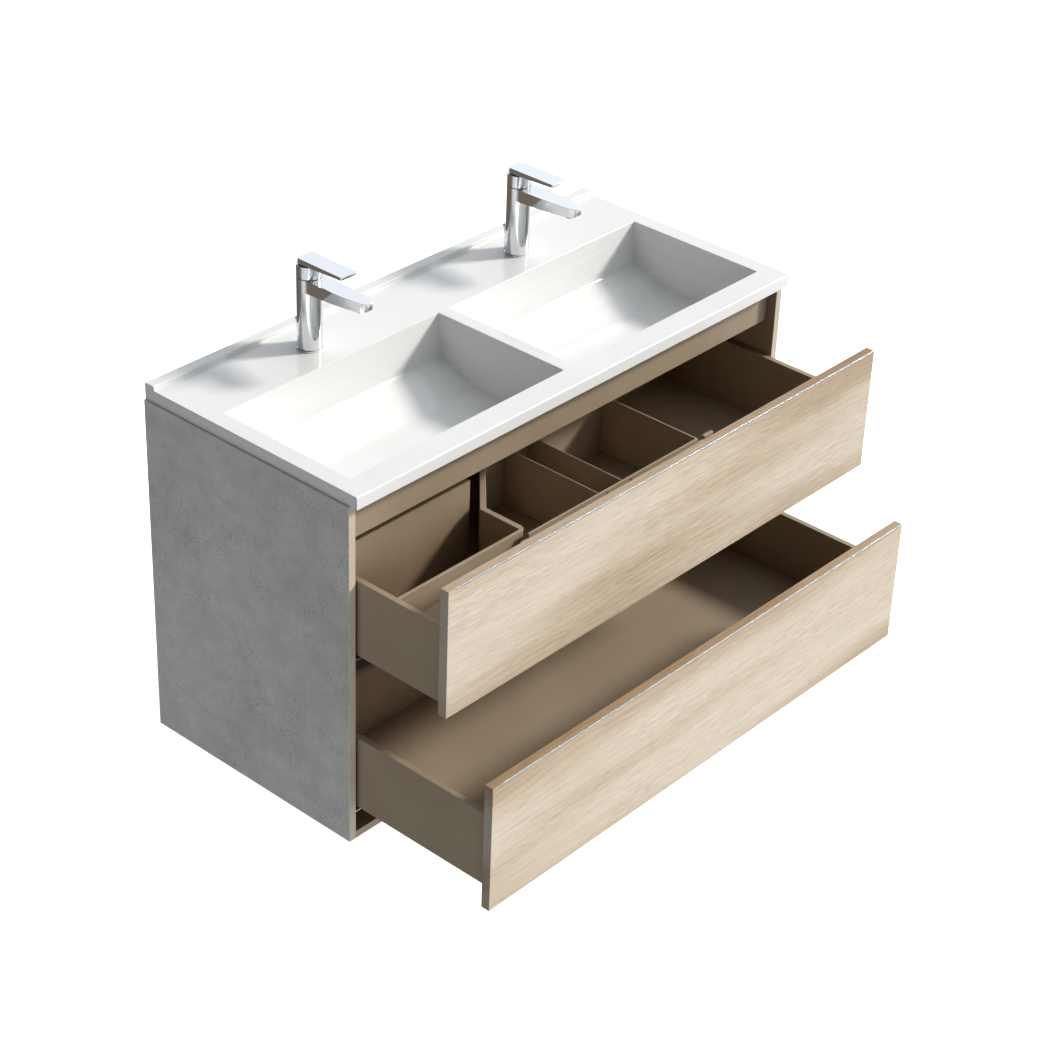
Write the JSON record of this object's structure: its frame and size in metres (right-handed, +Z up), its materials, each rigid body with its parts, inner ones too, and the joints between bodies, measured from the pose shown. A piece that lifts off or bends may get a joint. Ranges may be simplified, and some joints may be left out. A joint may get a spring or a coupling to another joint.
{
  "type": "bathroom vanity cabinet",
  "caption": "Wall-hung bathroom vanity cabinet with a one-piece double basin top, lever mixers and full-width pull-out drawers with an organiser.",
  "frame": {"origin": "centre of the wall face of the upper hanging rail", "axes": "+X to the right of a person facing the cabinet, -Y out of the wall towards that person, +Z up"},
  "size_m": [1.2, 0.863, 0.926],
  "materials": {
    "concrete_board": "matt concrete-look melamine on chipboard",
    "taupe_board": "matt taupe melamine on chipboard",
    "oak_board": "light oak foil with a horizontal grain, matt",
    "aluminium_strip": "bright brushed",
    "taupe_plastic": "matt",
    "white_ceramic": "gloss white",
    "chrome": "mirror polished",
    "aerator_plastic": "grey",
    "zinc_steel": "zinc-plated sheet steel"
  },
  "bodies": {
    "cabinet": {"side_panel_left": "concrete_board", "side_panel_right": "concrete_board", "bottom_panel": "taupe_board", "hanging_rail_upper": "taupe_board", "hanging_rail_lower": "taupe_board", "back_panel": "taupe_board", "front_rail": "taupe_board", "basin_top": "white_ceramic", "waste_ring_left": "chrome", "waste_ring_right": "chrome", "tap_left_body": "chrome", "tap_left_aerator": "aerator_plastic", "tap_right_body": "chrome", "tap_right_aerator": "aerator_plastic", "runner_upper_left_fixed": "zinc_steel", "runner_upper_right_fixed": "zinc_steel", "runner_lower_left_fixed": "zinc_steel", "runner_lower_right_fixed": "zinc_steel"},
    "upper_drawer": {"upper_front": "oak_board", "upper_front_strip": "aluminium_strip", "upper_side_left": "taupe_board", "upper_side_right": "taupe_board", "upper_bottom": "taupe_board", "upper_back": "taupe_board", "organiser_front": "taupe_plastic", "organiser_right": "taupe_plastic", "organiser_divider_left": "taupe_plastic", "organiser_divider_right": "taupe_plastic", "organiser_back": "taupe_plastic", "tray_wall_front": "taupe_plastic", "tray_wall_side": "taupe_plastic", "tray_wall_diagonal": "taupe_plastic", "tray_shelf": "taupe_plastic", "tall_divider": "taupe_board", "runner_upper_left_moving": "zinc_steel", "runner_upper_right_moving": "zinc_steel"},
    "lower_drawer": {"lower_front": "oak_board", "lower_front_strip": "aluminium_strip", "lower_side_left": "taupe_board", "lower_side_right": "taupe_board", "lower_bottom": "taupe_board", "lower_back": "taupe_board", "lower_cover_cap": "taupe_plastic", "runner_lower_left_moving": "zinc_steel", "runner_lower_right_moving": "zinc_steel"},
    "upper_runner_middle_left": {"runner_upper_left_middle": "zinc_steel"},
    "upper_runner_middle_right": {"runner_upper_right_middle": "zinc_steel"},
    "lower_runner_middle_left": {"runner_lower_left_middle": "zinc_steel"},
    "lower_runner_middle_right": {"runner_lower_right_middle": "zinc_steel"},
    "tap_left_swivel": {"tap_left_cartridge": "chrome"},
    "tap_left_handle": {"tap_left_lever": "chrome"},
    "lift_rod_left": {"tap_left_lift_rod": "chrome"},
    "plug_left": {"waste_plug_left": "chrome"},
    "tap_right_swivel": {"tap_right_cartridge": "chrome"},
    "tap_right_handle": {"tap_right_lever": "chrome"},
    "lift_rod_right": {"tap_right_lift_rod": "chrome"},
    "plug_right": {"waste_plug_right": "chrome"}
  },
  "joints": [
    {"name": "upper_drawer_slide", "type": "slide", "parent": "cabinet", "child": "upper_drawer", "axis": [0, -1, 0], "range_m": [-0.21, 0.24]},
    {"name": "lower_drawer_slide", "type": "slide", "parent": "cabinet", "child": "lower_drawer", "axis": [0, -1, 0], "range_m": [-0.322, 0.128]},
    {"name": "upper_runner_middle_left_slide", "type": "slide", "parent": "cabinet", "child": "upper_runner_middle_left", "axis": [0, -1, 0], "range_m": [-0.105, 0.12]},
    {"name": "upper_runner_middle_right_slide", "type": "slide", "parent": "cabinet", "child": "upper_runner_middle_right", "axis": [0, -1, 0], "range_m": [-0.105, 0.12]},
    {"name": "lower_runner_middle_left_slide", "type": "slide", "parent": "cabinet", "child": "lower_runner_middle_left", "axis": [0, -1, 0], "range_m": [-0.161, 0.064]},
    {"name": "lower_runner_middle_right_slide", "type": "slide", "parent": "cabinet", "child": "lower_runner_middle_right", "axis": [0, -1, 0], "range_m": [-0.161, 0.064]},
    {"name": "tap_left_temperature", "type": "hinge", "parent": "cabinet", "child": "tap_left_swivel", "pos_m": [-0.283, -0.098, 0.24], "axis": [0, 0, 1], "range_deg": [-40, 40]},
    {"name": "tap_left_flow", "type": "hinge", "parent": "tap_left_swivel", "child": "tap_left_handle", "pos_m": [-0.283, -0.085, 0.243], "axis": [-1, 0, 0], "range_deg": [0, 22]},
    {"name": "lift_rod_left_slide", "type": "slide", "parent": "cabinet", "child": "lift_rod_left", "axis": [0, 0, 1], "range_m": [0, 0.01]},
    {"name": "plug_left_slide", "type": "slide", "parent": "cabinet", "child": "plug_left", "axis": [0, 0, 1], "range_m": [-0.008, 0]},
    {"name": "tap_right_temperature", "type": "hinge", "parent": "cabinet", "child": "tap_right_swivel", "pos_m": [0.283, -0.098, 0.24], "axis": [0, 0, 1], "range_deg": [-40, 40]},
    {"name": "tap_right_flow", "type": "hinge", "parent": "tap_right_swivel", "child": "tap_right_handle", "pos_m": [0.283, -0.085, 0.243], "axis": [-1, 0, 0], "range_deg": [0, 22]},
    {"name": "lift_rod_right_slide", "type": "slide", "parent": "cabinet", "child": "lift_rod_right", "axis": [0, 0, 1], "range_m": [0, 0.01]},
    {"name": "plug_right_slide", "type": "slide", "parent": "cabinet", "child": "plug_right", "axis": [0, 0, 1], "range_m": [-0.008, 0]}
  ],
  "couplings": [
    {"joint": "upper_runner_middle_left_slide", "follows": "upper_drawer_slide", "ratio": 0.5},
    {"joint": "upper_runner_middle_right_slide", "follows": "upper_drawer_slide", "ratio": 0.5},
    {"joint": "lower_runner_middle_left_slide", "follows": "lower_drawer_slide", "ratio": 0.5},
    {"joint": "lower_runner_middle_right_slide", "follows": "lower_drawer_slide", "ratio": 0.5},
    {"joint": "plug_left_slide", "follows": "lift_rod_left_slide", "ratio": -0.8},
    {"joint": "plug_right_slide", "follows": "lift_rod_right_slide", "ratio": -0.8}
  ]
}
